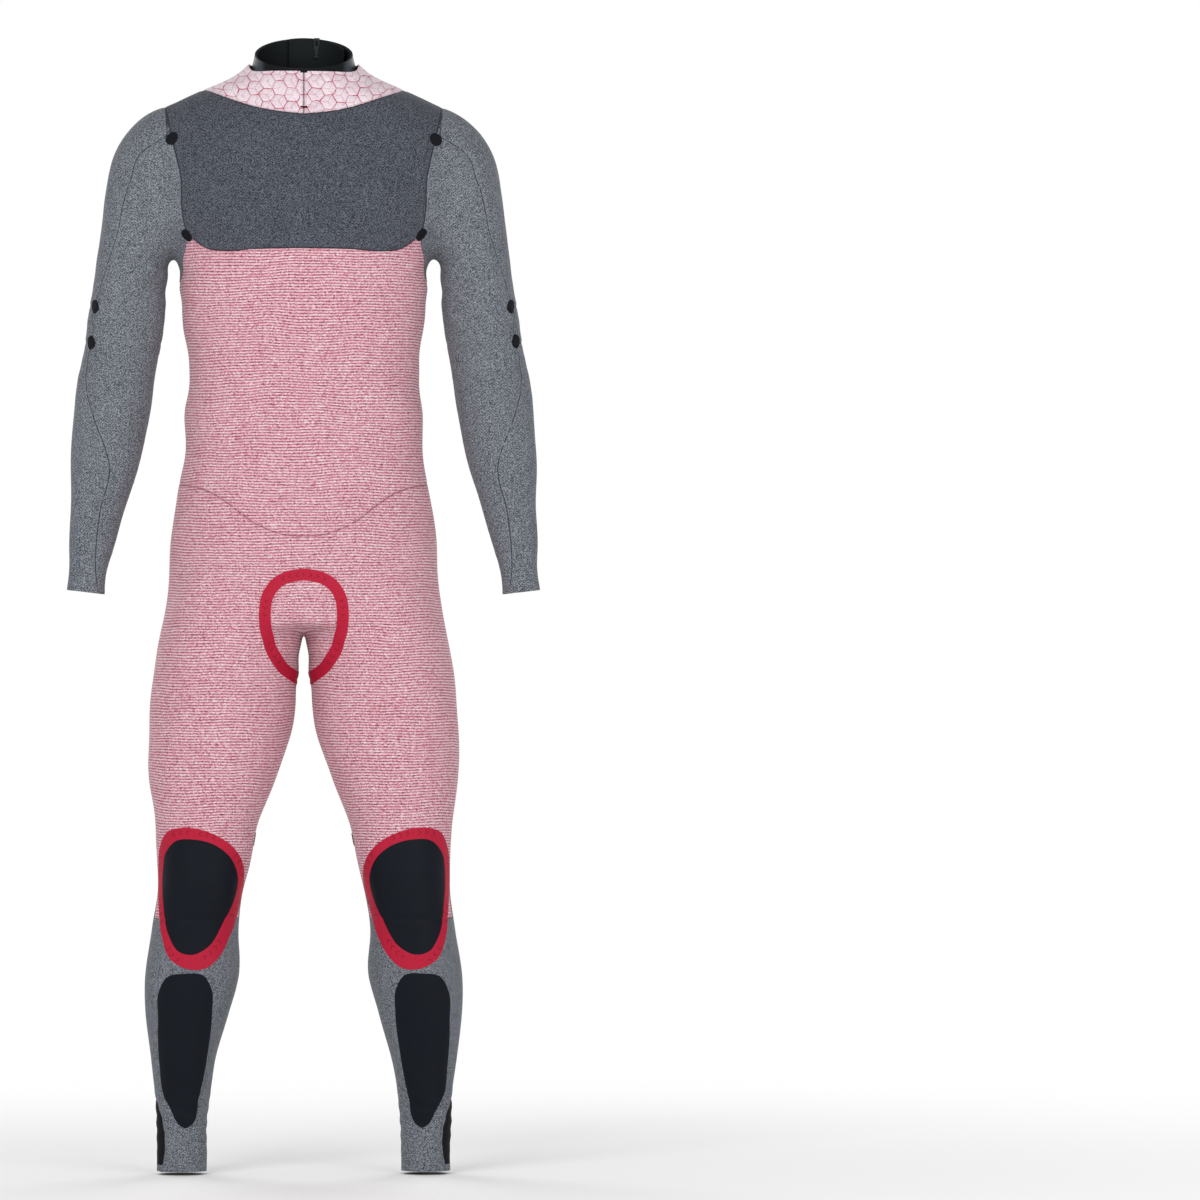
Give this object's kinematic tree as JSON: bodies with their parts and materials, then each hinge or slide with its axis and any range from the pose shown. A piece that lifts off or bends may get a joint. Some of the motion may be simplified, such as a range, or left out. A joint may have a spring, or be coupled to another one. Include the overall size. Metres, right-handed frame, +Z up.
{
  "type": "full wetsuit",
  "caption": "Full-length back-zip wetsuit shown inside out: quilted back, dark chest, rose body, grey sleeves and calves, red seam tape, black knee and shin pads.",
  "frame": {"origin": "the hanger mount: on the suit's middle plane, level with the throat, 1.400 m above the ankle hems", "axes": "+X to the wearer's left, +Y out of the wearer's back, +Z up; the suit's front faces -Y"},
  "size_m": [0.6004, 0.247, 1.445],
  "materials": {
    "rose_lining": "ribbed heather knit, rose and white, matte",
    "plush_lining": "pale plush quilted in hexagons with red lines, matte",
    "grey_lining": "fine grey heather knit, matte",
    "dark_grey_lining": "fine dark grey heather knit, matte",
    "seam_tape": "red woven tape with a plain stripe, satin",
    "smooth_rubber": "smooth black foam rubber skin, satin",
    "black_patch": "black bonded stretch patch, matte",
    "zip_tape": "black woven tape",
    "zip_plastic": "black moulded teeth",
    "zip_metal": "bright corrosion-proof metal"
  },
  "bodies": {
    "torso": {"collar": "smooth_rubber", "collar_closure_tab": "smooth_rubber", "left_neck_yoke": "plush_lining", "right_neck_yoke": "plush_lining", "chest_panel": "dark_grey_lining", "front_torso_panel": "rose_lining", "back_panel": "plush_lining", "shoulder_blade_patches": "rose_lining", "left_underarm_gusset": "grey_lining", "right_underarm_gusset": "grey_lining", "hip_panel": "rose_lining", "seat_panel": "rose_lining", "crotch_gusset": "rose_lining", "crotch_seam_tape": "seam_tape", "back_seam_tapes": "seam_tape", "lumbar_seam_tape": "seam_tape", "seam_dots": "black_patch", "zip_tapes": "zip_tape", "left_zip_teeth": "zip_plastic", "right_zip_teeth": "zip_plastic", "zip_bottom_stop": "zip_metal"},
    "left_upper_sleeve": {"left_shoulder_panel": "grey_lining", "left_upper_sleeve_outer_panel": "grey_lining", "left_upper_sleeve_inner_panel": "grey_lining"},
    "left_forearm": {"left_elbow_bend_panel": "grey_lining", "left_elbow_patch": "grey_lining", "left_forearm_outer_panel": "grey_lining", "left_forearm_inner_panel": "grey_lining", "left_wrist_cuff": "grey_lining"},
    "left_thigh": {"left_hip_bend_panel": "rose_lining", "left_thigh_panel": "rose_lining"},
    "left_shin": {"left_knee_bend_panel": "rose_lining", "left_knee_pad": "smooth_rubber", "left_knee_seam_tape": "seam_tape", "left_calf_panel": "grey_lining", "left_shin_pad": "smooth_rubber", "left_ankle_gusset": "black_patch", "left_ankle_cuff": "grey_lining"},
    "right_upper_sleeve": {"right_shoulder_panel": "grey_lining", "right_upper_sleeve_outer_panel": "grey_lining", "right_upper_sleeve_inner_panel": "grey_lining"},
    "right_forearm": {"right_elbow_bend_panel": "grey_lining", "right_elbow_patch": "grey_lining", "right_forearm_outer_panel": "grey_lining", "right_forearm_inner_panel": "grey_lining", "right_wrist_cuff": "grey_lining"},
    "right_thigh": {"right_hip_bend_panel": "rose_lining", "right_thigh_panel": "rose_lining"},
    "right_shin": {"right_knee_bend_panel": "rose_lining", "right_knee_pad": "smooth_rubber", "right_knee_seam_tape": "seam_tape", "right_calf_panel": "grey_lining", "right_shin_pad": "smooth_rubber", "right_ankle_gusset": "black_patch", "right_ankle_cuff": "grey_lining"},
    "zip_slider": {"zip_slider": "zip_metal"},
    "zip_puller": {"zip_puller": "zip_metal"}
  },
  "joints": [
    {"name": "left_shoulder_raise", "type": "hinge", "parent": "torso", "child": "left_upper_sleeve", "pos_m": [0.178, -0.004, -0.1], "axis": [0, -1, 0], "range_deg": [0, 60], "stiffness_Nm_per_rad": 0.6, "deforming": ["left_shoulder_panel"]},
    {"name": "left_elbow_bend", "type": "hinge", "parent": "left_upper_sleeve", "child": "left_forearm", "pos_m": [0.231, 0.002, -0.35], "axis": [-1, 0, 0], "range_deg": [0, 75], "stiffness_Nm_per_rad": 0.3, "deforming": ["left_elbow_bend_panel", "left_elbow_patch"]},
    {"name": "left_hip_bend", "type": "hinge", "parent": "torso", "child": "left_thigh", "pos_m": [0.09, 0.005, -0.67], "axis": [-1, 0, 0], "range_deg": [0, 45], "stiffness_Nm_per_rad": 2, "deforming": ["left_hip_bend_panel"]},
    {"name": "left_knee_bend", "type": "hinge", "parent": "left_thigh", "child": "left_shin", "pos_m": [0.131, -0.004, -1.048], "axis": [1, 0, 0], "range_deg": [0, 75], "stiffness_Nm_per_rad": 0.6, "deforming": ["left_knee_bend_panel", "left_knee_pad", "left_knee_seam_tape"]},
    {"name": "right_shoulder_raise", "type": "hinge", "parent": "torso", "child": "right_upper_sleeve", "pos_m": [-0.178, -0.004, -0.1], "axis": [0, 1, 0], "range_deg": [0, 60], "stiffness_Nm_per_rad": 0.6, "deforming": ["right_shoulder_panel"]},
    {"name": "right_elbow_bend", "type": "hinge", "parent": "right_upper_sleeve", "child": "right_forearm", "pos_m": [-0.231, 0.002, -0.35], "axis": [-1, 0, 0], "range_deg": [0, 75], "stiffness_Nm_per_rad": 0.3, "deforming": ["right_elbow_bend_panel", "right_elbow_patch"]},
    {"name": "right_hip_bend", "type": "hinge", "parent": "torso", "child": "right_thigh", "pos_m": [-0.09, 0.005, -0.67], "axis": [-1, 0, 0], "range_deg": [0, 45], "stiffness_Nm_per_rad": 2, "deforming": ["right_hip_bend_panel"]},
    {"name": "right_knee_bend", "type": "hinge", "parent": "right_thigh", "child": "right_shin", "pos_m": [-0.131, -0.004, -1.048], "axis": [1, 0, 0], "range_deg": [0, 75], "stiffness_Nm_per_rad": 0.6, "deforming": ["right_knee_bend_panel", "right_knee_pad", "right_knee_seam_tape"]},
    {"name": "zip_run", "type": "hinge", "parent": "torso", "child": "zip_slider", "pos_m": [0.00548, -1.67866, -0.28126], "axis": [0.9994, 0, -0.0349], "range_deg": [-14.6, 0]},
    {"name": "puller_flip", "type": "hinge", "parent": "zip_slider", "child": "zip_puller", "pos_m": [0.01595, 0.05842, 0.01861], "axis": [0.9994, 0, -0.0349], "range_deg": [0, 175]}
  ]
}
